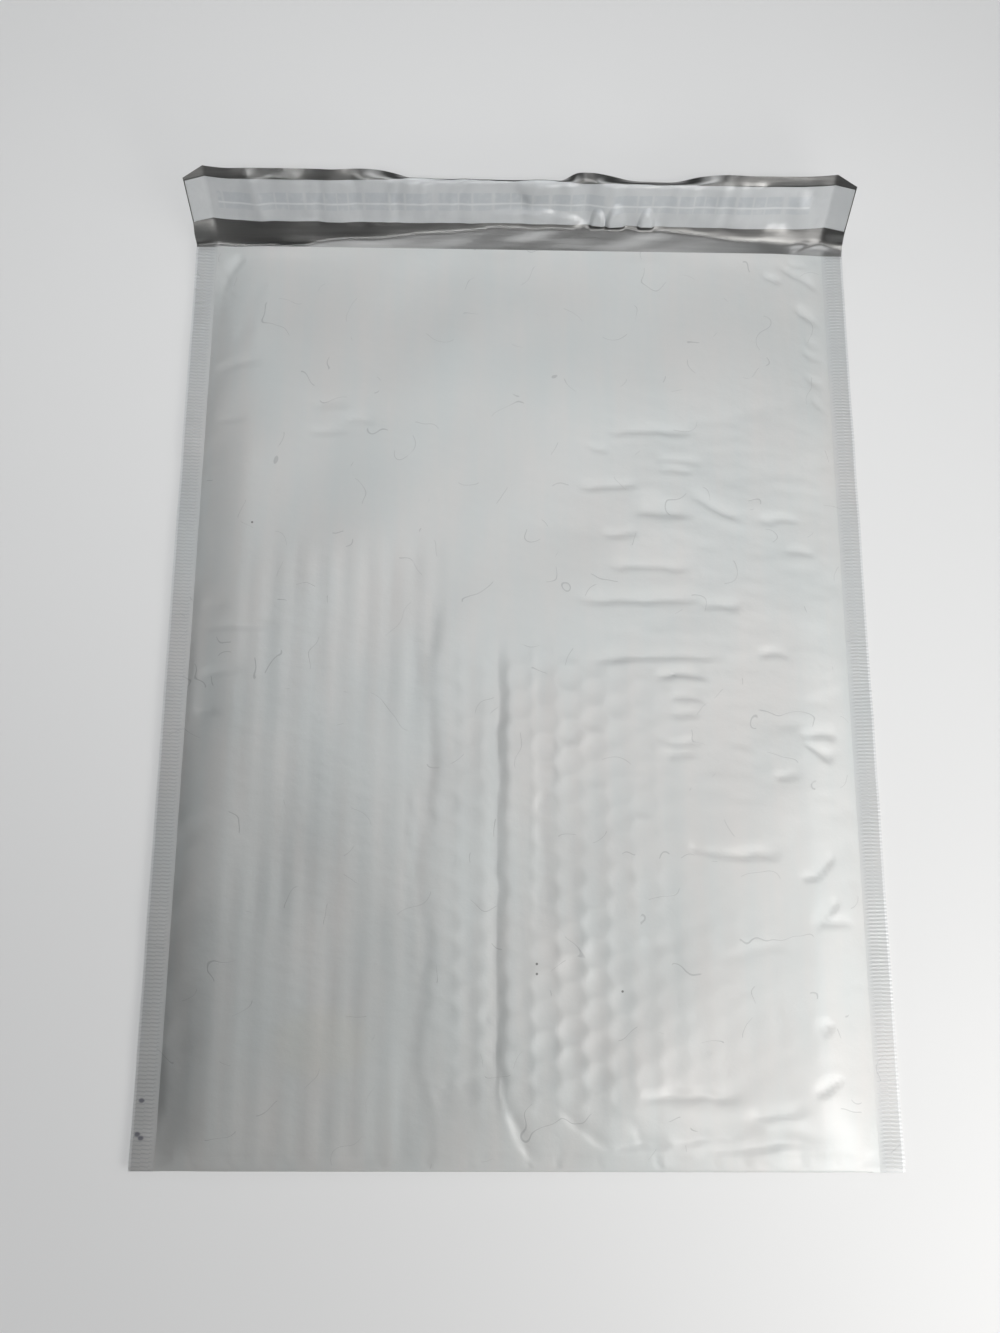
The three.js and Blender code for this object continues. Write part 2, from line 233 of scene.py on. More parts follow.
def bubble_reach(x, y):
    """Distance to the nearest bubble's middle as a share of its half pitch, on staggered columns."""
    column = np.round((x - LATTICE_X) / BUBBLE_COLUMN)
    stagger = (column % 2) * BUBBLE_PITCH / 2
    row = np.round((y - LATTICE_Y - stagger) / BUBBLE_PITCH)
    off_x = x - LATTICE_X - column * BUBBLE_COLUMN
    off_y = y - LATTICE_Y - stagger - row * BUBBLE_PITCH
    return 2 * np.hypot(off_x, off_y) / BUBBLE_PITCH


def bubble_cap(x, y):
    """Film stretched over a bubble: flat over its middle and eased down to the web between bubbles."""
    return 1 - smooth((bubble_reach(x, y) - 0.45) / 0.65)


def bubble_dish(x, y):
    """Film drawn in over a bubble that cooled: 1 less the square of the reach, with a rounded rim."""
    reach = bubble_reach(x, y)
    return ramp(0.95 - reach * reach, 0.12)


# Depths of the drawn-in bubbles: place across the panel and depth
DISH_DEPTHS = np.array([
    (-140, 0.02), (-112, 0.04), (-60, 0.04), (-38, 0.06), (-30, 0.3), (-19.9, 0.58), (-13, 0.3), (-5, 0.3),
    (0.4, 0.52), (10.5, 0.62), (20.7, 0.82), (30.8, 0.72), (40.9, 0.54), (51, 0.38), (70, 0.22), (96, 0.1),
    (140, 0.03),
])

# Creases pressed into the front panel: start, end, width and depth; each is steep on its right-hand side
PANEL_CREASES = np.array([
    (40, 106.6, 75, 107.1, 1.5, 0.32), (29.6, 98, 39.3, 98.1, 1.2, 0.2), (59.1, 92.7, 79, 93, 1.3, 0.25),
    (61, 87.6, 74.3, 88, 1.1, 0.22), (26, 80.2, 51.3, 80.5, 1.4, 0.3), (49.7, 68.3, 73.7, 68.8, 2.6, 0.5),
    (35.2, 58.3, 51.7, 58.5, 1.2, 0.25), (104, 65.5, 121.6, 65.8, 1.3, 0.28),
    (74, 76.2, 95.4, 65.8, 1.5, 0.35), (114.3, 50.6, 127.3, 51, 1.2, 0.26),
    (38.5, 44.4, 73, 44.9, 1.4, 0.3), (25.4, 29.1, 76.8, 30.2, 1.7, 0.42), (76.8, 27.5, 94, 26.6, 1.5, 0.3),
    (29.4, 3.9, 82.2, 4.6, 1.4, 0.34), (57, -4, 78, -3.3, 1.3, 0.5), (62.8, -13, 76, -14, 1.2, 0.34),
    (63.3, -20.5, 75, -20.2, 1.1, 0.3), (61.3, -31.4, 74.6, -31.9, 1.1, 0.3),
    (60, -36.5, 73, -36, 1.1, 0.22), (101.4, 5.7, 114.1, 6.3, 1.3, 0.3),
    (116.5, -28.1, 133.3, -27.7, 1.5, 0.36), (118.5, -30.5, 130.5, -39.2, 1.4, 0.42),
    (105, -44.8, 115.6, -44.6, 1.2, 0.26), (69, -76, 81.3, -76.4, 1.2, 0.26),
    (81.2, -77.5, 105.7, -77, 1.3, 0.3), (113.3, -87.5, 121, -85.5, 1.4, 0.32),
    (121, -85.5, 128.1, -77.5, 1.4, 0.32), (118.3, -106.7, 129.1, -95.5, 1.5, 0.34),
    (122.4, -104.7, 134.5, -104.4, 1.4, 0.32), (118, -146.6, 124.1, -142.8, 1.3, 0.3),
    (114.6, -170.5, 126.8, -163.2, 1.4, 0.32), (46.6, -171, 85.4, -170.7, 1.3, 0.34),
    (-93.3, 117.6, -75.6, 118, 1.2, 0.2), (-92.7, 105.3, -75.2, 105.6, 1.2, 0.2),
    (-76.6, 109.8, -64.3, 110, 1.1, 0.18), (-135.6, 25.3, -125.1, 25.5, 1.1, 0.2),
    (-135, 15.7, -101.4, 16.1, 1.3, 0.22), (-133.7, -3.6, -117.1, -3.4, 1.2, 0.2),
    (-136.8, -20.5, -126.5, -20.3, 1.1, 0.2), (-6.4, -161.7, -4.8, -176.2, 1.2, 0.16),
    (-4.8, -176.2, 0.2, -186.7, 1.3, 0.16), (-4.4, -175.5, 4.5, -190.5, 1.4, 0.14),
    (0.2, -186.7, 6.5, -194, 1.2, 0.14), (13.7, -174.4, 24, -181.5, 1.5, 0.16),
    (24, -181.5, 34.7, -190, 1.4, 0.15), (44, -180, 47.5, -192, 1.1, 0.1),
    (-12.2, -160.4, -25, -165.2, 2.4, 0.18), (-25, -165.2, -34.6, -169.3, 2.2, 0.16),
    (-133.4, 183.8, -127.6, 194.5, 1.3, 0.24), (-136, 174.5, -133.4, 183.8, 1.3, 0.24),
    (-138, 158, -136, 174.5, 1.3, 0.18), (-120.9, 169.4, -116.4, 180.5, 1.3, 0.15),
    (-135.2, 167, -130.2, 173, 1.2, 0.14), (-127.4, 149.5, -121.9, 157.5, 1.2, 0.12),
    (-137.5, 134.4, -115.5, 138.7, 1.3, 0.26), (-134.6, 109.4, -121.5, 110.6, 1.2, 0.2),
    (121, 192.5, 138.2, 179.8, 1.6, 0.34), (125, 194, 133, 191, 1.2, 0.2),
    (113.5, 186.9, 119.3, 183, 1.2, 0.35), (126.5, 170, 137.2, 162.4, 1.5, 0.4),
    (131, 152.3, 137.8, 149, 1.2, 0.3), (129, 146.2, 137.6, 144, 1.2, 0.3),
    (129.4, 133.4, 138, 131.3, 1.2, 0.3), (131, 122.8, 138.2, 120.1, 1.2, 0.3),
    (60, -186, 92, -183.5, 1.8, 0.3), (70, -190, 124, -187.5, 1.7, 0.3), (36, -189, 58, -187.5, 1.3, 0.25),
    (90, -178, 112, -176.4, 1.5, 0.25),
])

# Hollows of the front panel: middle, half length, half width and depth
PANEL_HOLLOWS = np.array([
    (116.8, -23.4, 8, 2.6, 0.55), (53.9, -113.5, 11, 2.6, 0.4), (82, -116.4, 9, 2.2, 0.3),
    (99, -114, 9, 2, 0.25), (72, -9.4, 8, 2.2, 0.3), (68, 26.4, 26, 2.4, 0.25), (-80, -150, 12, 13, -0.25),
    (36, -121, 5, 4, 0.2), (92, 60, 14, 5, 0.3), (30, 62, 12, 6, 0.25), (104, 88, 13, 7, 0.25),
])

# Places along the bottom fold where the film is pinched, in millimetres across
FOLD_PINCHES = [
    -126, -112, -97, -89.4, -79.8, -57.4, -53.6, -36, -19, 4.3, 14, 31, 54.7, 76.1, 87.8, 96.4, 109.3, 124,
    133,
]


def creased(x, y, creases):
    """Sum of ridges: each falls off over 2.1 widths on the left of its line and 0.75 on the right."""
    height = np.zeros_like(x)
    for from_x, from_y, to_x, to_y, width, rise in creases:
        length = math.hypot(to_x - from_x, to_y - from_y)
        along_x, along_y = (to_x - from_x) / length, (to_y - from_y) / length
        along = (x - from_x) * along_x + (y - from_y) * along_y
        aside = (y - from_y) * along_x - (x - from_x) * along_y
        spare = 0.12 * length
        near = (np.abs(aside) < 6 * width) & (along > -spare) & (along < length + spare)
        run, off = along[near], aside[near] / width
        ends = smooth((run + spare) / (3 * spare)) * smooth((length + spare - run) / (3 * spare))
        height[near] += 1.5 * rise * ends * bell(np.minimum(off, 0) / 0.75) * bell(np.maximum(off, 0) / 2.1)
    return height


def hollowed(x, y, hollows):
    """Sum of oval dents: a bell of the distance measured in half lengths and half widths."""
    height = np.zeros_like(x)
    for at_x, at_y, half_length, half_width, depth in hollows:
        height -= depth * bell(np.hypot((x - at_x) / half_length, (y - at_y) / half_width))
    return height


def bubble_print(x, y):
    """Bubbles showing through: drawn in, deepest near the middle, with ribs on the left, faint elsewhere."""
    deep = eased_line(x, DISH_DEPTHS, 4) * window(y, -158, -12, 34)
    faint = 0.03 * (1 + rumple(x, y, 31, 5)) * window(y, -175, 60, 40)
    uneven = 0.8 + 0.4 * rumple(x, y, 15, 4)
    ribbed = window(x, -112, -38, 14) * window(y, -178, 34, 34)
    ribs = 0.14 * np.cos(2 * np.pi * (x - LATTICE_X) / BUBBLE_COLUMN) * ribbed
    ribs = ribs * (0.8 + 0.6 * rumple(x, y, 23, 6))
    return ribs - bubble_dish(x, y) * np.maximum(deep * uneven, faint)


def valley(offset, fall, fall_run, climb, climb_run, round_off=0.5):
    """Valley with its floor at 0: straight slopes of the given runs down to it and up from it, rounded."""
    down = ramp(offset + fall_run, round_off) - ramp(offset, round_off)
    up = ramp(offset, round_off) - ramp(offset - climb_run, round_off)
    return climb / climb_run * up - fall / fall_run * down


def sunken_lines(x, y):
    """Two valleys between columns of bubbles and the bank on their left, each for a part of the length."""
    wander = 0.35 * rumple(x * 0, y, 11, 7)
    weave = 1.7 * np.abs(2 * (((y - LATTICE_Y) / BUBBLE_PITCH) % 1) - 1) + 0.5 * rumple(x * 0, y, 7, 19)
    main = valley(x + 9.3 - wander, 0.75, 5.5, 0.95, 4.4, 0.6) - 0.2 * smooth((x + 4.9) / 14)
    second = valley(x - 6.9 - weave, 0.35, 2.2, 0.5, 6.4, 0.8) - 0.15 * smooth((x - 14) / 12)
    second = second * (0.75 + 0.6 * rumple(x * 0, y, 8, 20))
    bank = valley(x + 39.5 - 2 * rumple(x * 0, y, 19, 8), 0.25, 9, 0.75, 4.6, 0.8)
    bank = bank - 0.5 * smooth((x + 35) / 60)
    long_lines = main * window(y, -158, -6, 22) + second * window(y, -96, 8, 16)
    return long_lines + bank * window(y, -168, 6, 34)


def beads(x, y):
    """Small beads where the film is stretched between bubbles: narrow bells, one a row, on three lines."""
    row = np.floor((y - LATTICE_Y) / BUBBLE_PITCH)
    shift = 2.6 * np.sin(row * 12.9) + BUBBLE_PITCH / 2
    off = y - LATTICE_Y - row * BUBBLE_PITCH - shift
    strength = 0.6 + 0.4 * np.sin(row * 7.3 + 1)
    first = bell(np.hypot((x + 11.8 - 0.8 * np.sin(row * 5.1)) / 0.9, off / 1.5))
    second = bell(np.hypot((x - 5.6 - 0.5 * np.sin(row * 3.7)) / 0.7, off / 2.4))
    third = bell((x + 44.4 - 1.1 * np.sin(row * 2.3)) / 1.3) * bell(off / 4.6)
    lines = 0.3 * first * window(y, -158, 8, 6) + 0.26 * second * window(y, -100, 4, 6)
    return strength * (lines + 0.4 * third * window(y, -92, -52, 8))


def seam_puckers(x, y):
    """Puckers that run in from the side seals: random ridges along y that die out inwards."""
    inward = INNER_HALF - np.abs(x)
    slanted = y + 0.35 * inward * np.sign(x)
    fine = rumple(slanted + 300, np.sign(x) * 40 + inward / 5, 3.4, 9)
    ridges = 0.6 * fine + rumple(slanted, inward / 9, 8, 10)
    return 0.42 * ridges * np.exp(-inward / 11) * smooth(inward / 4)


def fold_pinches(x, y):
    """Small nicks along the bottom fold: narrow bells across that die out over a few millimetres."""
    depth = np.zeros_like(x)
    for place in FOLD_PINCHES:
        lean = place + 0.25 * (y - FOLD_Y) * math.sin(place)
        depth += bell((x - lean) / 0.9) - 0.5 * bell((x - lean - 1.8) / 1.6)
    nicks = 0.75 * depth * np.exp(-(y - FOLD_Y) / 4)
    flattened = 0.5 * bell((y - FOLD_Y - 5.2) / 1.6) * (0.6 + 0.5 * rumple(x, y, 12, 11))
    return -nicks - 0.5 * flattened


def panel_relief(x, y):
    """Relief of the front film: bubbles, sunken lines, creases, dents, puckers and soft unevenness."""
    warp_x = x + 0.9 * rumple(x, y, 7, 1)
    warp_y = y + 0.9 * rumple(x, y, 6, 2) + 0.8 * rumple(x, y, 17, 3)
    broad = 0.5 * ripple(x, y, 34, 12) + 0.16 * rumple(x, y, 15, 13)
    right = smooth((x - 15) / 40) * window(y, -60, 118, 20)
    level = 0.15 * rumple(x / 3.2, warp_y, 3.6, 14) * right
    lower = 0.32 * rumple(x / 3, warp_y, 5.5, 15) * smooth((x - 10) / 40) * smooth((-165 - y) / 12)
    upright = 0.07 * rumple(x, y / 6, 4.2, 16) * smooth((y - 60) / 40)
    small = 0.03 * ripple(x, y, 2.6, 17)
    relief = broad + level + lower + upright + small
    relief += bubble_print(x, y) + sunken_lines(warp_x, y) + beads(x, y)
    relief += hollowed(warp_x, warp_y, PANEL_HOLLOWS) - CREASE_PRESS * creased(warp_x, warp_y, PANEL_CREASES)
    edge = smooth((INNER_HALF - np.abs(x)) / 9) * smooth((LIP_Y - y) / 7) * smooth((y - FOLD_Y) / 5)
    held = PANEL_RELIEF * relief * edge + seam_puckers(x, y) * smooth((LIP_Y - y) / 5)
    pinched = fold_pinches(x, y) * smooth((INNER_HALF - np.abs(x)) / 5)
    return (held + pinched) * smooth((y - FOLD_Y - 1.2) / 1.6)


def back_relief(x, y):
    """Relief of the back film: it lies on its bubbles and arches up a little between them."""
    lifted = 0.22 * (1 - bubble_cap(x, y)) + 0.12 * (1 + rumple(x, y, 26, 21))
    inside = smooth((INNER_HALF - np.abs(x)) / 9) * smooth((LIP_Y - y) / 8) * smooth((y - FOLD_Y) / 8)
    return lifted * inside


# Flap: its section is added up in short steps along the sheet, and its places are across and from the lip

FLAP_CREASES = np.array([
    (1, 25, 14, 34, 4.2, 0.85), (13, 34, 24, 32.5, 3.2, 0.45), (-14, 20, 12, 22, 3.2, -0.6),
    (10, 22, 28, 17.5, 2.8, -0.45), (-70, 11.5, -54, 12.2, 0.9, 0.22), (-112, 3.6, -96, 4.4, 0.9, 0.25),
    (128, 3, 137, 7, 1.1, 0.2), (-30, 26, -24, 36, 1.6, 0.4), (62, 20, 68, 35, 1.8, 0.3),
    (76, 18, 79, 33, 1.8, 0.3), (90, 16, 93, 34, 2, 0.3), (-118, 15, -121, 36, 2.6, 0.5),
    (-96, 15, -93, 34, 2.2, 0.4), (-76, 15, -78, 34, 2, 0.35), (-60, 15, -57, 34, 2.2, 0.4),
    (-44, 15, -46, 33, 1.9, 0.35), (-34, 15, -31, 30, 1.7, 0.35),
])

# Arched lifts of the strip at its near edge: middle, half width, reach along the sheet and height
STRIP_ARCHES = np.array([(35.4, 3.6, 8.5, 1.2), (43.6, 5, 11, 1.7), (58, 4, 9, 1.5)])

# The crease that runs along the flap: place across and distance from the lip
LONG_CREASE = np.array([
    (-150, 1.6), (-130, 1.8), (-103, 2.9), (-82, 6.2), (-65, 6.8), (-38, 9.8), (-10, 12.2), (20, 12.5),
    (55, 12.2), (68, 11.6), (83, 10), (98, 7.9), (112, 7), (130, 6.2), (150, 5.6),
])

# How far the film past the strip curls back out of sight: place across and share
MARGIN_CURL = np.array([
    (-150, 0), (-130, 0), (-116, 0.3), (-100, 0.2), (-83, 0), (-64, 0.45), (-49, 1), (20, 1), (27, 0.1),
    (38, 0.6), (50, 0.9), (71, 0.9), (82, 0.5), (101, 0), (150, 0),
])


def flap_lean(x, distance):
    """Lean of the sheet: steeper past the crease, the stiff strip's above, less the curl of the margin."""
    middle = np.cos(np.pi * x / POUCH_WIDTH) ** 2
    crease = eased_line(x, LONG_CREASE, 13)
    before = blend(LEAN_BEFORE_ENDS, LEAN_BEFORE_MIDDLE, middle)
    after = blend(LEAN_AFTER_ENDS, LEAN_AFTER_MIDDLE, middle)
    top = LEAN_STRIP + LEAN_SWAY * np.sin(2 * np.pi * x / SWAY_LENGTH)
    past_crease = smooth((distance - crease) / CREASE_RUN + 0.5)
    stiffened = smooth((distance - STRIP_START) / STRIP_BEND + 0.5)
    curled = eased_line(x, MARGIN_CURL, 7)
    droop = MARGIN_DROOP * curled * smooth((distance - STRIP_END + 1.6) / 3.2)
    return np.radians(blend(blend(before, after, past_crease), top, stiffened) - droop)


def flap_section(x, distance):
    """Back face in the plane of one x: short steps along the lean, added up from the lip's line."""
    marks = np.arange(0, FLAP_LENGTH + 3, SECTION_STEP)
    lean = flap_lean(x[:, :1], marks[None, :] + SECTION_STEP / 2)
    start = np.zeros((len(x), 1))
    run = np.concatenate([start, np.cumsum(SECTION_STEP * np.cos(lean), axis=1)], axis=1) + LIP_Y
    rise = np.concatenate([start, np.cumsum(SECTION_STEP * np.sin(lean), axis=1)], axis=1)
    rise = rise + underside(x[:, :1], LIP_Y)
    place = distance / SECTION_STEP
    index = np.clip(np.floor(place).astype(int), 0, len(marks) - 1)
    share = place - index
    rows = np.arange(len(x))[:, None]
    y = blend(run[rows, index], run[rows, index + 1], share)
    z = blend(rise[rows, index], rise[rows, index + 1], share)
    return y, z


def flap_sheet(x, distance):
    """Back face of the flap: its section, turned forward past the seals, with waves along its normal."""
    corner = clamp((np.abs(x) - INNER_HALF) / SEAL_WIDTH)
    past_strip = np.maximum(distance - STRIP_END, 0)
    cut_reach = STRIP_END + past_strip * (1 - corner * CORNER_CUT / STRIP_MARGIN)
    reach = np.where(distance > STRIP_END, cut_reach, distance)
    past = np.maximum(np.abs(x) - INNER_HALF, 0)
    root = np.clip(x, -INNER_HALF, INNER_HALF)
    y, z = flap_section(root, reach)
    bend = np.radians(END_BEND) * smooth(reach / END_BEND_RUN)
    lean = flap_lean(root, reach)
    forward = past * np.sin(bend)
    rise = smooth(distance / 9)
    stiff = smooth((distance - STRIP_START + 3) / 6)
    loose = 1 - 0.88 * smooth((distance - STRIP_END + 1) / 3)
    waves = 0.6 * ripple(x, distance * 0.2, 9, 31) + 0.22 * ripple(x, distance * 0.5, 4.5, 32)
    waves = stiff * loose * waves + (1 - stiff) * 0.16 * ripple(x / 3, distance, 3.4, 34)
    for middle, half, reach_along, lift in STRIP_ARCHES:
        share = np.hypot((x - middle) / half, np.maximum(distance - STRIP_START, 0) / reach_along)
        waves = waves + lift * smooth((1 - share) / 0.45) * smooth((distance - STRIP_START + 2.5) / 2.5)
    waves = rise * waves * window(np.abs(x), 0, 128, 12)
    ridges = creased(x + 0.6 * ripple(x, distance, 4, 33), distance, FLAP_CREASES)
    waves = waves + ridges * smooth(distance / 3) * (1 - 0.7 * smooth((distance - STRIP_END + 2) / 3))
    forward = forward + waves
    sheet_x = root + np.sign(x) * past * np.cos(bend)
    return np.stack([sheet_x, y - forward * np.sin(lean), z + forward * np.cos(lean)], axis=-1)


def across_normal(points):
    """Unit normals of a grid of points: cross product of its two central differences."""
    normal = np.cross(np.gradient(points, axis=0), np.gradient(points, axis=1))
    return normal / np.linalg.norm(normal, axis=-1, keepdims=True)


def stepped(*parts):
    """Rising lines from (from, to, step) parts, each divided evenly and joined end to end."""
    lines = [np.linspace(low, high, max(1, round((high - low) / step)) + 1) for low, high, step in parts]
    return np.unique(np.round(np.concatenate(lines), 5))


# Meshes


def mesh_object(name, points, faces, finish_index, finishes, uv=None):
    """Object from points in millimetres and faces of one kind, each with the number of its finish."""
    mesh = bpy.data.meshes.new(name)
    mesh.vertices.add(len(points))
    mesh.vertices.foreach_set("co", (points / 1000).astype(np.float32).ravel())
    mesh.loops.add(faces.size)
    mesh.loops.foreach_set("vertex_index", faces.astype(np.int32).ravel())
    mesh.polygons.add(len(faces))
    mesh.polygons.foreach_set("loop_start", np.arange(0, faces.size, faces.shape[1], dtype=np.int32))
    mesh.polygons.foreach_set("material_index", finish_index.astype(np.int32))
    mesh.polygons.foreach_set("use_smooth", np.ones(len(faces), dtype=bool))
    mesh.update(calc_edges=True)
    if uv is not None:
        layer = mesh.uv_layers.new(name="sheet")
        layer.data.foreach_set("uv", uv[faces.ravel()].astype(np.float32).ravel())
    mesh.set_sharp_from_angle(angle=math.radians(SHARP_ANGLE))
    for finish in finishes:
        mesh.materials.append(finish)
    made = bpy.data.objects.new(name, mesh)
    bpy.context.scene.collection.objects.link(made)
    return made


def shell(name, outer, inner, finishes, uv=None):
    """Closed sheet between two grids of points: both skins, and a rim around their four edges.

    The finishes are the outer skin's, the inner skin's and the rim's.
    """
    rows, columns = outer.shape[:2]
    numbers = np.arange(rows * columns).reshape(rows, columns)
    first, second, third, fourth = (
        corner.ravel() for corner in (numbers[:-1, :-1], numbers[1:, :-1], numbers[1:, 1:], numbers[:-1, 1:])
    )
    skin = np.stack([first, second, third, first, third, fourth], axis=-1).reshape(-1, 3)
    border = np.concatenate([numbers[:, 0], numbers[-1, 1:], numbers[-2::-1, -1], numbers[0, -2::-1]])
    outward = np.cross(outer[1:, :-1] - outer[:-1, :-1], outer[:-1, 1:] - outer[:-1, :-1])
    if np.sum(outward * (outer - inner)[:-1, :-1]) < 0:
        skin, border = skin[:, ::-1], border[::-1]
    low = rows * columns
    start, end = border[:-1], border[1:]
    rim = np.stack([end, start, start + low, end, start + low, end + low], axis=-1).reshape(-1, 3)
    faces = np.concatenate([skin, skin[:, ::-1] + low, rim])
    index = np.concatenate([np.zeros(len(skin)), np.ones(len(skin)), np.full(len(rim), 2)])
    points = np.concatenate([outer.reshape(-1, 3), inner.reshape(-1, 3)])
    both = None if uv is None else np.concatenate([uv.reshape(-1, 2)] * 2)
    return mesh_object(name, points, faces, index, finishes, both)


# Finishes


class Value:
    """A number on a node socket; Python's operators on it add Math nodes."""

    def __init__(self, finish, socket):
        self.finish = finish
        self.socket = socket

    def math(self, operation, *others):
        values = dict(enumerate((self, *others)))
        return self.finish.node("ShaderNodeMath", {"operation": operation}, values)

    def __add__(self, other):
        return self.math("ADD", other)

    __radd__ = __add__

    def __sub__(self, other):
        return self.math("SUBTRACT", other)

    def __rsub__(self, other):
        return self.finish.number(other).math("SUBTRACT", self)

    def __mul__(self, other):
        return self.math("MULTIPLY", other)

    __rmul__ = __mul__

    def __truediv__(self, other):
        return self.math("DIVIDE", other)

    def __abs__(self):
        return self.math("ABSOLUTE")

    def __mod__(self, other):
        return self.math("FLOORED_MODULO", other)

    def rises(self, low, high):
        """Eased 0 to 1 between two values."""
        return self.finish.node(
            "ShaderNodeMapRange",
            {"interpolation_type": "SMOOTHSTEP"},
            {"Value": self, "From Min": low, "From Max": high},
        )

    def between(self, low, high, fade):
        return self.rises(low - fade, low) * (1 - self.rises(high, high + fade))


class Finish:
    """A material being put together around one Principled shader."""

    def __init__(self, name, **constants):
        self.material = bpy.data.materials.new(name)
        self.material.use_nodes = True
        self.tree = self.material.node_tree
        self.shader = next(node for node in self.tree.nodes if node.type == "BSDF_PRINCIPLED")
        for socket, constant in constants.items():
            self.shader.inputs[socket.replace("_", " ")].default_value = constant

    def node(self, kind, settings=None, inputs=None, output=0):
        """Any node: its type, its settings, the values or links of its sockets, and the output wanted."""
        made = self.tree.nodes.new(kind)
        for setting, value in (settings or {}).items():
            setattr(made, setting, value)
        for socket, value in (inputs or {}).items():
            if isinstance(value, Value):
                self.tree.links.new(value.socket, made.inputs[socket])
            else:
                made.inputs[socket].default_value = value
        return Value(self, made.outputs[output])

    def number(self, value):
        return self.node("ShaderNodeMath", {"operation": "ADD"}, {0: value, 1: 0})

    def millimetres(self, source="Object"):
        """Coordinates in millimetres, whole and as three numbers; source UV reads the piece's own map."""
        place = self.node("ShaderNodeTexCoord", output=source)
        scale = 1000 if source == "Object" else 1
        scaled = self.node("ShaderNodeVectorMath", {"operation": "SCALE"}, {0: place, "Scale": scale})
        split = [self.node("ShaderNodeSeparateXYZ", None, {0: scaled}, axis) for axis in "XYZ"]
        return scaled, *split

    def vector(self, x, y, z=0):
        return self.node("ShaderNodeCombineXYZ", None, {0: x, 1: y, 2: z})

    def noise(self, place, scale, detail=2.0, roughness=0.5):
        values = {"Vector": place, "Scale": scale, "Detail": detail, "Roughness": roughness}
        return self.node("ShaderNodeTexNoise", None, values)

    def mix(self, share, first, second):
        """Colour between two colours, each a link or three numbers."""
        colours = [c if isinstance(c, Value) else (*c, 1) for c in (first, second)]
        return self.node("ShaderNodeMix", {"data_type": "RGBA"}, {0: share, 6: colours[0], 7: colours[1]}, 2)

    def spot(self, x, y, at, radius, soft):
        """1 inside a round spot, eased to 0 over its soft edge."""
        off_x, off_y = x - at[0], y - at[1]
        return 1 - (off_x * off_x + off_y * off_y).math("SQRT").rises(radius, radius + soft)

    def hairlines(self, place, scale, width, amount):
        """Sparse thin arcs: contour lines of a soft noise, kept only where a second noise is high."""
        level = abs(self.noise(place, scale, 1, 0.4) - 0.5)
        kept = self.noise(place, scale * 1.9, 0).rises(1 - amount, 1.02 - amount)
        return (1 - level.rises(width, width * 2.5)) * kept

    def colour(self, value):
        self.tree.links.new(value.socket, self.shader.inputs["Base Color"])

    def roughness(self, value):
        self.tree.links.new(value.socket, self.shader.inputs["Roughness"])

    def bump(self, height):
        """Relief in millimetres on the shader's normal."""
        normal = self.node("ShaderNodeBump", None, {"Strength": 1.0, "Distance": 0.001, "Height": height})
        self.tree.links.new(normal.socket, self.shader.inputs["Normal"])


# The two tints between which the white film is mottled
WHITE_COOL = (0.575, 0.603, 0.603)
WHITE_WARM = (0.622, 0.613, 0.603)

# Dots of ink on the left seal and dark specks in the film: places across and along
INK_DOTS = ((-146.9, -172.6), (-147.6, -184.8), (-146.2, -186.2))
SPECKS = ((-115.8, 62.5), (6.8, -120.3), (6.8, -124.1), (40.8, -130.7))


def white_film(name, crimped=False):
    """Outside of the film: satin white, faintly mottled, with crinkles, hair scratches, specks or crimps."""
    finish = Finish(name, IOR=1.5)
    place, x, y, _ = finish.millimetres()
    mottle = finish.noise(place, 0.016, 3)
    streaks = finish.noise(finish.vector(x * 0.12, y * 0.012), 1, 3)
    tint = (mottle * 0.7 + streaks * 0.45).rises(0.35, 0.85)
    colour = finish.mix(tint, WHITE_COOL, WHITE_WARM)
    hairs = finish.hairlines(place, 0.045, 0.0014, 0.4)
    colour = finish.mix(hairs * 0.42, colour, (0.28, 0.29, 0.3))
    crinkle = finish.noise(place, 0.42, 4, 0.6)
    fine = finish.noise(place, 1.7, 2)
    height = crinkle * 0.075 + fine * 0.012 - hairs * 0.03
    if crimped:
        tick = ((y + 0.12 * (x % 3.1)) * (2 * math.pi / CRIMP_PITCH)).math("SINE").rises(0.1, 0.95)
        begun = (abs(x) + 2.4 * finish.noise(finish.vector(0, y), 0.7, 1)).rises(142.2, 143.6)
        heavy = finish.noise(finish.vector(0, y), 0.9, 1).rises(0.62, 0.74)
        dull = 0.24 + tick * begun * (0.36 + 0.25 * heavy)
        colour = finish.mix(dull, colour, (0.36, 0.372, 0.39))
        colour = finish.mix(abs(x).rises(148.9, 149.3) * 0.6, colour, (0.78, 0.79, 0.8))
        for at in INK_DOTS:
            ink = finish.spot(x * 0.8, y, (at[0] * 0.8, at[1]), 0.5, 0.7)
            colour = finish.mix(ink * 0.75, colour, (0.1, 0.1, 0.14))
    else:
        for at in SPECKS:
            colour = finish.mix(finish.spot(x, y, at, 0.32, 0.3) * 0.8, colour, (0.08, 0.08, 0.08))
        patch = finish.spot(x * 0.7, y, (-54, -150), 8, 9) * 0.16
        colour = finish.mix(patch, colour, (0.66, 0.63, 0.53))
    finish.colour(colour)
    finish.roughness(0.36 + 0.1 * finish.noise(place, 0.09, 2) + 0.08 * hairs)
    finish.bump(height)
    return finish.material


def grey_film():
    """Inside of the film: silvery grey with a soft sheen; its colour is streaked lighter and darker along the
    flap as painted reflection streaks of the film's gentle waves.
    """
    finish = Finish("grey_film_inside", IOR=1.55, Metallic=0.8)
    place, x, y, z = finish.millimetres()
    streaks = finish.noise(finish.vector(x * 0.03, (y + z) * 0.4), 1, 3)
    cloud = finish.noise(place, 0.05, 2)
    # Colour streaked lighter and darker along the flap: painted reflection streaks of the film's waves over
    # its real silvery grey; the same streaks also feed the bump
    finish.colour(finish.mix(streaks * 0.6 + cloud * 0.4, (0.12, 0.12, 0.118), (0.255, 0.255, 0.25)))
    finish.roughness(0.285 + 0.08 * cloud)
    finish.bump(streaks * 0.06 + finish.noise(place, 0.5, 3) * 0.03)
    return finish.material


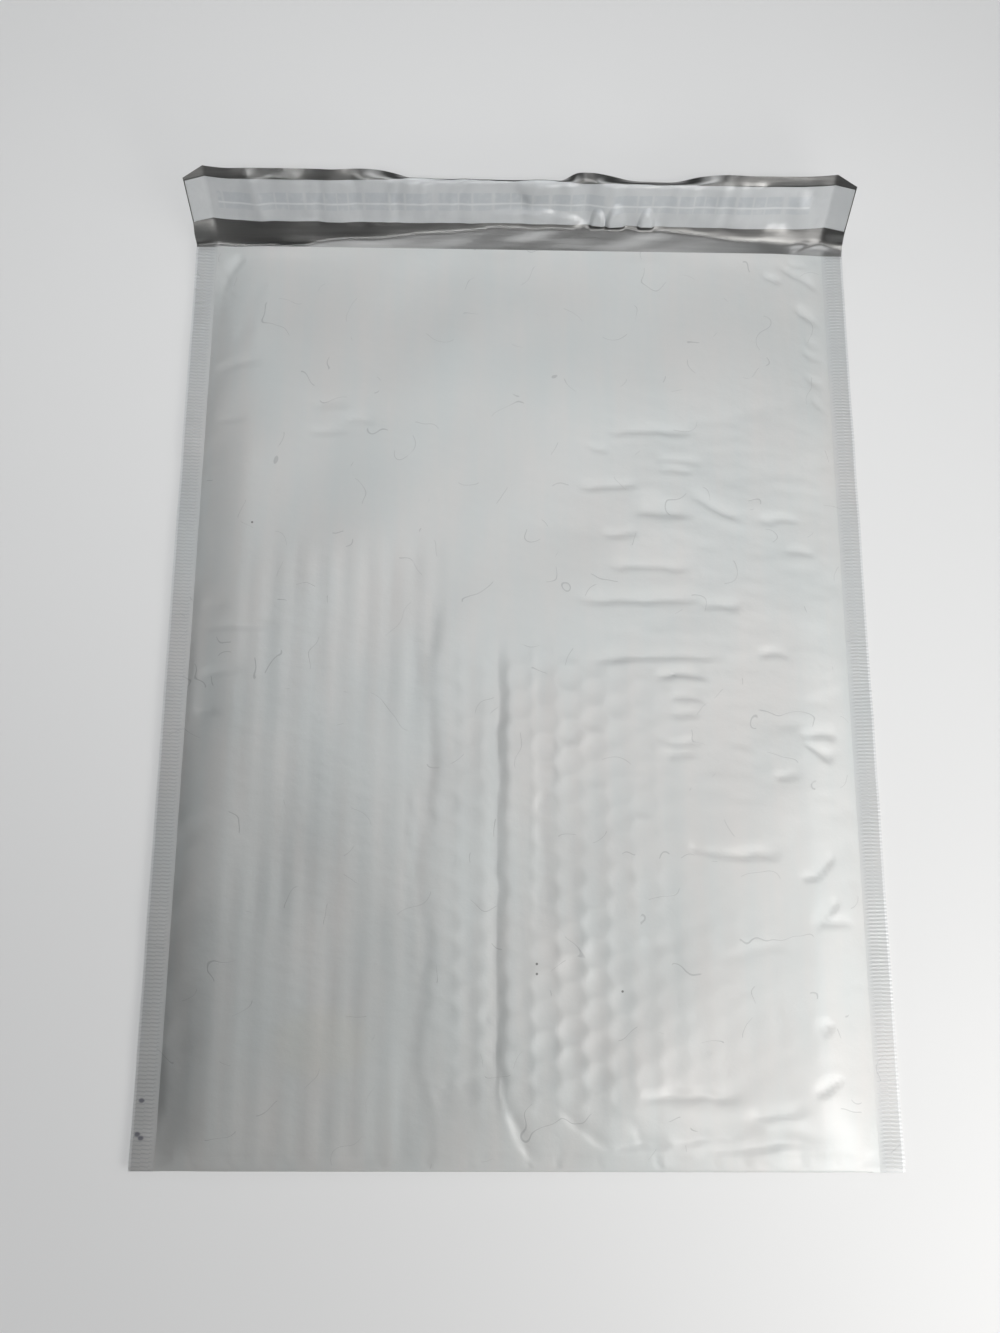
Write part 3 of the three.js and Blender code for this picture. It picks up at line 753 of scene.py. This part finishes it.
def cut_edge():
    """Cut edge of the film: whiter than its faces, faintly nicked."""
    finish = Finish("film_cut_edge", IOR=1.5, Roughness=0.4)
    place, *_ = finish.millimetres()
    finish.colour(finish.mix(finish.noise(place, 0.8, 2), (0.6, 0.61, 0.62), (0.8, 0.8, 0.79)))
    return finish.material


def liner_film():
    """Release liner: smooth coated film with a generic row of soft blocks over a row of dashes."""
    finish = Finish("release_liner_film", IOR=1.45, Coat_Weight=0.35, Coat_Roughness=0.1)
    _, across, along, _ = finish.millimetres("UV")
    place = finish.vector(across, along)
    level = along - 0.006 * across
    cloud = finish.noise(place, 0.09, 2)
    colour = finish.mix(cloud, (0.49, 0.51, 0.525), (0.595, 0.61, 0.618))
    sway = (across * 0.23).math("SINE") * 0.24 + (across * 0.071).math("SINE") * 0.5
    cell = (across / 8.3 + sway) % 1
    blocks = cell.between(0.12, 0.88, 0.1) * level.between(23.2, 27.2, 0.5)
    dashes = cell.between(0.1, 0.9, 0.08) * level.between(19.8, 21.7, 0.4)
    kept = across.between(-136, 131, 1)
    worn = finish.noise(place, 0.3, 2).rises(0.15, 0.55)
    colour = finish.mix((blocks + dashes * 0.8) * kept * worn * 0.38, colour, (0.38, 0.42, 0.46))
    pale = level.between(22.2, 22.7, 0.25) * kept
    colour = finish.mix(pale * 0.35, colour, (0.74, 0.76, 0.77))
    finish.colour(colour)
    finish.roughness(0.28 + 0.1 * cloud)
    finish.bump(finish.noise(place, 0.16, 2) * 0.25 + finish.noise(place, 0.9, 2) * 0.02)
    return finish.material


def glue():
    """Closing strip: tacky glue, slightly cloudy, with a ropy surface."""
    finish = Finish("closing_glue", IOR=1.5)
    place, *_ = finish.millimetres()
    cloud = finish.noise(place, 0.4, 4)
    finish.colour(finish.mix(cloud, (0.46, 0.45, 0.39), (0.6, 0.59, 0.52)))
    finish.roughness(0.3 + 0.3 * cloud)
    finish.bump(cloud * 0.1)
    return finish.material


def clear_web():
    """Bubble web: clear glossy film with a milky cast and fine drawing lines."""
    finish = Finish("clear_bubble_web", IOR=1.5, Transmission_Weight=0.55)
    place, x, y, _ = finish.millimetres()
    lines = finish.noise(finish.vector(x * 1.4, y * 0.05), 1, 2)
    cloud = finish.noise(place, 0.12, 2)
    finish.colour(finish.mix(cloud, (0.72, 0.75, 0.76), (0.85, 0.87, 0.88)))
    finish.roughness(0.14 + 0.2 * lines)
    finish.bump(lines * 0.03 + cloud * 0.1)
    return finish.material


def floor_finish():
    """Plain pale floor, faintly mottled: where it is seen, half of it is an even pale glow."""
    finish = Finish("pale_floor", Roughness=0.85)
    place, *_ = finish.millimetres()
    finish.colour(finish.mix(finish.noise(place, 0.01, 2), (0.7, 0.7, 0.695), (0.72, 0.72, 0.715)))
    looks = ("Is Camera Ray", "Is Glossy Ray", "Is Transmission Ray")
    seen = sum(finish.node("ShaderNodeLightPath", output=look) for look in looks).math("MINIMUM", 1)
    glow = finish.node("ShaderNodeEmission", None, {"Color": (0.84, 0.845, 0.85, 1), "Strength": 1.0})
    diffuse = Value(finish, finish.shader.outputs[0])
    both = finish.node("ShaderNodeMixShader", None, {0: seen * 0.5, 1: diffuse, 2: glow})
    surface = next(node for node in finish.tree.nodes if node.type == "OUTPUT_MATERIAL")
    finish.tree.links.new(both.socket, surface.inputs["Surface"])
    return finish.material


front_finish = white_film("white_film_outside")
crimp_finish = white_film("white_film_crimped", crimped=True)
inside_finish = grey_film()
edge_finish = cut_edge()

# Front panel with the bottom fold, its columns closest over the sunken line

panel_columns = stepped(
    (-INNER_HALF, -126, 1.5), (-126, -49, 2.4), (-49, -9.4, 1.55), (-9.4, -7.4, 0.3), (-7.4, 16, 1.2),
    (16, 72, 1.5), (72, 126, 2), (126, INNER_HALF, 1.5),
)
panel_rows = stepped((FOLD_Y + 2.4, -166, 1.3), (-166, 112, 1.35), (112, 176, 2), (176, LIP_Y, 1.4))[::-1]


def front_panel_skin():
    """Outer skin: heights over the panel from the lip to the fold, then half an oval around the nose."""
    x, y = np.meshgrid(panel_columns, panel_rows, indexing="ij")
    panel = np.stack([x, y, topside(x, y) + panel_relief(x, y)], axis=-1)
    across = panel_columns[:, None]
    half_at_fold = (topside(across, FOLD_Y) - underside(across, FOLD_Y)) / 2
    depth = FOLD_NOSE * 2 * half_at_fold / FOLD_THICKNESS
    start = FOLD_Y + depth
    top, bottom = topside(across, start), underside(across, start)
    turn = np.linspace(0, np.pi, 9)[None, :]
    nose_y = start - depth * np.sin(turn)
    nose_z = (top + bottom) / 2 + (top - bottom) / 2 * np.cos(turn)
    nose = np.stack([np.broadcast_to(across, nose_y.shape), nose_y, nose_z], axis=-1)
    return np.concatenate([panel, nose], axis=1)


def inner_skin(outer):
    """Inner skin of the film: the outer skin's points moved in by one wall along their normals."""
    return outer + FILM_WALL * across_normal(outer)


front_outer = front_panel_skin()
film_finishes = [front_finish, inside_finish, edge_finish]
front_panel = shell("front_panel_film", front_outer, inner_skin(front_outer), film_finishes)

# Back panel and flap, one sheet


def flap_columns(limit, end_step, step):
    """Places across a piece of the flap, twice as close where the strip is arched."""
    return stepped(
        (-limit, -INNER_HALF, end_step), (-INNER_HALF, ARCHES_START, step),
        (ARCHES_START, ARCHES_END, step / 2), (ARCHES_END, INNER_HALF, step), (INNER_HALF, limit, end_step),
    )


sheet_columns = flap_columns(HALF_WIDTH, 1.6, 1.4)


def back_and_flap_skin():
    """White skin: the underside from the fold to the lip's line, then the flap along the sheet."""
    back_rows = stepped((FOLD_Y + 2.5, LIP_Y - 1, 2.7))
    x, y = np.meshgrid(sheet_columns, back_rows, indexing="ij")
    half_at_fold = (topside(sheet_columns, FOLD_Y) - underside(sheet_columns, FOLD_Y)) / 2
    depth = FOLD_NOSE * 2 * half_at_fold / FOLD_THICKNESS
    first_y = (FOLD_Y + depth)[:, None]
    x, y = np.concatenate([x[:, :1], x], axis=1), np.concatenate([first_y, y], axis=1)
    back = np.stack([x, y, underside(x, y) + back_relief(x, y)], axis=-1)
    flap_rows = np.concatenate([stepped((0, STRIP_END, 0.8)), stepped((STRIP_END, FLAP_LENGTH, 0.75))[1:]])
    x, distance = np.meshgrid(sheet_columns, flap_rows, indexing="ij")
    return np.concatenate([back, flap_sheet(x, distance)], axis=1)


back_outer = back_and_flap_skin()
back_and_flap = shell("back_panel_and_flap_film", back_outer, inner_skin(back_outer), film_finishes)

# Crimped side seals: the front film's two edges


def seal_skin(side):
    """Crimped edge: fine ridges across the seal, eased off where it meets the padding."""
    across = side * (INNER_HALF + np.array([0, 0.6, 1.3, 2.4, 4.2, 6.2, 8, 9.1, SEAL_WIDTH]))
    rows = np.linspace(FOLD_Y, LIP_Y, round(ROWS_PER_CRIMP * POUCH_LENGTH / CRIMP_PITCH) + 1)
    x, y = np.meshgrid(across, rows, indexing="ij")
    past = np.abs(x) - INNER_HALF
    phase = y + 0.25 * rumple(x, y, 6, 41)
    depth = CRIMP_HEIGHT * (0.75 + 0.5 * rumple(x, y, 11, 42)) * smooth((past - 1) / 1.6)
    crimps = depth * (1 + np.sin(2 * np.pi * phase / CRIMP_PITCH))
    waves = 0.35 * (1 + rumple(x * 0, y, 21, 43 + side)) * smooth(past / SEAL_WIDTH)
    ends = smooth((y - FOLD_Y) / 2) * smooth((LIP_Y - y) / 2)
    return np.stack([x, y, underside(x, y) + 2 * FILM_WALL + SEAL_GAP + (crimps + waves) * ends], axis=-1)


seals = []
for side, label in ((-1, "left"), (1, "right")):
    skin = seal_skin(side)
    under = skin - np.array([0, 0, SEAL_WALL])
    seals.append(shell(f"side_seal_{label}", skin, under, [crimp_finish, inside_finish, edge_finish]))

# Bubble lining: a web folded at the bottom, with domes towards the film


def web_skins():
    """Outer and inner skins of the web from the upper leaf's mouth around the fold to the lower leaf's.

    Each leaf runs between the film's inner face, from which it falls off around its bubbles, and half
    the pocket's gap.
    """
    columns = stepped((-INNER_HALF + LINING_SIDE_INSET, INNER_HALF - LINING_SIDE_INSET, 2.9))
    rows = stepped((FOLD_Y + LINING_FOLD_INSET + 1, LIP_Y - LINING_LIP_INSET, 2.9))[::-1]
    x, y = np.meshgrid(columns, rows, indexing="ij")
    ceiling = topside(x, y) + np.minimum(panel_relief(x, y), 0) - FILM_WALL - FIT_GAP
    ground = underside(x, y) + FILM_WALL + FIT_GAP
    middle = (ceiling + ground) / 2
    leaf = (ceiling - ground) / 2
    dip = WEB_VALLEY * (1 - bubble_cap(x, y)) * leaf
    pocket = np.minimum(POCKET_GAP, leaf) / 2
    upper = np.stack([x, y, ceiling - dip], axis=-1)
    upper_inner = np.stack([x, y, middle + pocket], axis=-1)
    lower = np.stack([x, y, ground + dip], axis=-1)[:, ::-1]
    lower_inner = np.stack([x, y, middle - pocket], axis=-1)[:, ::-1]
    turn = np.linspace(0, np.pi, 7)[None, 1:-1]
    last_y = rows[-1]

    def nose(above, below, depth):
        """Half an oval from the upper leaf's last row around to the lower leaf's first."""
        height = (above[:, -1:, 2] - below[:, :1, 2]) / 2
        centre = (above[:, -1:, 2] + below[:, :1, 2]) / 2
        nose_x = np.broadcast_to(columns[:, None], (len(columns), turn.shape[1]))
        nose_y = last_y - depth * np.sin(turn) + 0 * height
        return np.stack([nose_x, nose_y, centre + height * np.cos(turn)], axis=-1)

    outer = np.concatenate([upper, nose(upper, lower, 1.6), lower], axis=1)
    inner = np.concatenate([upper_inner, nose(upper_inner, lower_inner, 0.4), lower_inner], axis=1)
    return outer, inner


web_outer, web_inner = web_skins()
web_finish = clear_web()
lining = shell("bubble_web", web_outer, web_inner, [web_finish] * 3)

# Closing strip and its release liner on the flap


def strip_skins(start, end, lift, wall):
    """Two skins over the flap's inner face between two distances along the sheet, and their UV map."""
    limit = HALF_WIDTH - STRIP_END_INSET
    x, distance = np.meshgrid(flap_columns(limit, 1.2, 1.1), stepped((start, end, 0.7)), indexing="ij")
    base = flap_sheet(x, distance)
    normal = across_normal(base)
    normal = normal * np.sign(normal[..., 2:3])
    lower = base + normal * lift
    return lower + normal * wall, lower, np.stack([x, distance], axis=-1)


adhesive_start = STRIP_START + (LINER_WIDTH - ADHESIVE_WIDTH) / 2
adhesive_end = adhesive_start + ADHESIVE_WIDTH
adhesive_lift = FILM_WALL + GLUE_GAP
liner_lift = adhesive_lift + ADHESIVE_WALL + LINER_GAP
glue_finish = glue()
top_skin, low_skin, _ = strip_skins(adhesive_start, adhesive_end, adhesive_lift, ADHESIVE_WALL)
closing_strip = shell("closing_strip", top_skin, low_skin, [glue_finish] * 3)
liner_finish = liner_film()
top_skin, low_skin, strip_map = strip_skins(STRIP_START, STRIP_END, liner_lift, LINER_WALL)
liner = shell("release_liner_strip", top_skin, low_skin, [liner_finish] * 3, strip_map)

# Each piece hangs on the root body and hides the part of the model that it stands for

for piece in (front_panel, back_and_flap, *seals):
    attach(piece, "root")
    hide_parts("outer_film")
for piece, node in ((lining, "bubble_lining"), (closing_strip, "adhesive_strip"), (liner, "release_liner")):
    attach(piece, "root")
    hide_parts(node)

# Floor, light and camera


def plain_floor():
    """Flat square a little below the envelope."""
    signs = ((-1, -1), (1, -1), (1, 1), (-1, 1))
    corners = np.array([(FLOOR_REACH * across, FLOOR_REACH * along, FLOOR_LEVEL) for across, along in signs])
    return mesh_object("floor", corners, np.array([[0, 1, 2, 3]]), np.zeros(1), [floor_finish()])


plain_floor()


def softbox(name, watts, place, aim, size, colour, spread=180):
    """Rectangular lamp at a place, turned towards a point; lengths in metres, spread in degrees."""
    lamp = bpy.data.lights.new(name, "AREA")
    lamp.shape = "RECTANGLE"
    lamp.size, lamp.size_y = size
    lamp.energy = watts
    lamp.color = colour
    lamp.spread = math.radians(spread)
    made = bpy.data.objects.new(name, lamp)
    made.location = place
    made.rotation_euler = (Vector(aim) - Vector(place)).to_track_quat("-Z", "Y").to_euler()
    bpy.context.scene.collection.objects.link(made)


softbox("near_right_softbox", 0.98, (0.28, -0.32, 0.27), (0.1, -0.09, 0), (0.2, 0.24), (1, 0.985, 0.965), 150)
softbox("right_softbox", 0.8, (0.42, -0.06, 0.36), (0.08, 0.06, 0), (0.26, 0.3), (1, 0.99, 0.975))
softbox("front_softbox", 0.06, (0.1, -0.62, 0.3), (0, -0.02, 0), (0.4, 0.2), (1, 1, 1), 90)
softbox("far_softbox", 0.6, (-0.06, 0.4, 0.45), (-0.04, 0.13, 0), (0.6, 0.26), (0.96, 0.985, 1))
softbox("top_softbox", 0.24, (0, 0.2, 0.9), (0, 0.14, 0), (0.5, 0.4), (0.97, 0.985, 1), 46)
softbox("long_strip_lamp", 0.18, (0, -0.42, 0.79), (0, 0.2, 0), (1.3, 0.045), (1, 1, 1), 34)

scene = bpy.context.scene
scene.world = bpy.data.worlds.new("studio")
scene.world.use_nodes = True
backdrop = scene.world.node_tree.nodes["Background"]
backdrop.inputs["Color"].default_value = (0.93, 0.97, 1, 1)
backdrop.inputs["Strength"].default_value = 0.02
scene.view_settings.view_transform = "Standard"

# Camera at the photograph's angle: lens in millimetres, place in metres, and where its front and right point
CAMERA_LENS = 27.03
CAMERA_SENSOR = 36
CAMERA_PLACE = (-0.0147, -0.0844, 0.4198)
CAMERA_FORWARD = (0.0147, 0.2005, -0.9796)
CAMERA_RIGHT = (0.9999, 0.0059, 0.0162)


def photo_camera():
    """Camera at its place, turned to look forward, with its right made square to that."""
    lens = bpy.data.cameras.new("camera")
    lens.sensor_width = CAMERA_SENSOR
    lens.lens = CAMERA_LENS
    lens.clip_start = 0.02
    camera = bpy.data.objects.new("camera", lens)
    scene.collection.objects.link(camera)
    forward = Vector(CAMERA_FORWARD).normalized()
    right = Vector(CAMERA_RIGHT)
    right = (right - forward * right.dot(forward)).normalized()
    turn = Matrix((right, right.cross(forward), -forward)).transposed().to_4x4()
    camera.matrix_world = Matrix.Translation(CAMERA_PLACE) @ turn
    return camera


scene.camera = photo_camera()

bpy.context.view_layer.update()
